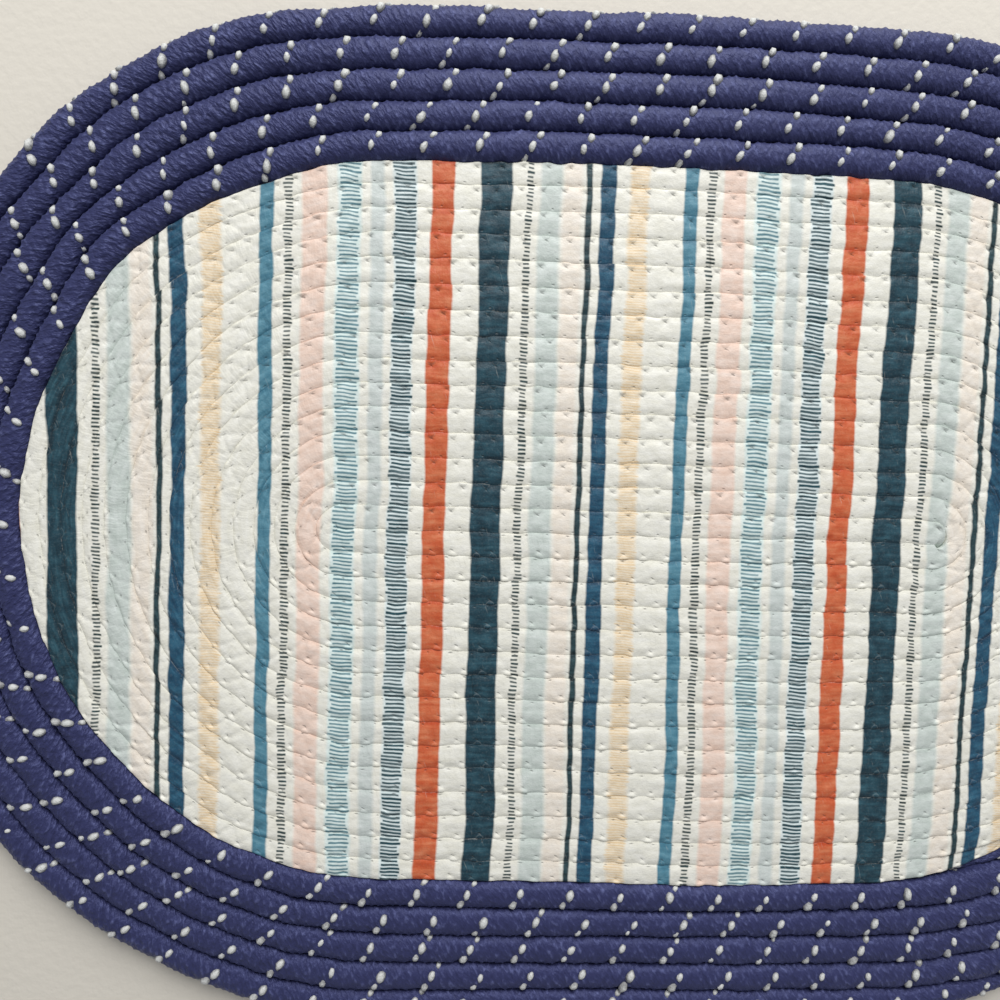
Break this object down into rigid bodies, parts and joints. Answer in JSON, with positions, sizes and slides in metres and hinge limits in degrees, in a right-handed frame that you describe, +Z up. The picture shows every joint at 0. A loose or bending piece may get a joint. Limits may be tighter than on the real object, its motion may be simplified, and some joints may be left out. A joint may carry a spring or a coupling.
{
  "type": "braided rug",
  "caption": "Oval braided rug: a wound and sewn braid field printed with cross stripes, inside a thick rope border, lying flat on its underside.",
  "frame": {"origin": "middle of the underside, on the plane that the rug lies on", "axes": "+X along the rug's length, +Y across it, +Z up out of the printed face"},
  "size_m": [0.6858, 0.4572, 0.0108],
  "materials": {
    "printed_braid": "woven braid printed with cross stripes",
    "navy_rope": "braided rope with a cream tracer yarn"
  },
  "bodies": {
    "root": {"field": "printed_braid", "border": "navy_rope"}
  },
  "joints": []
}
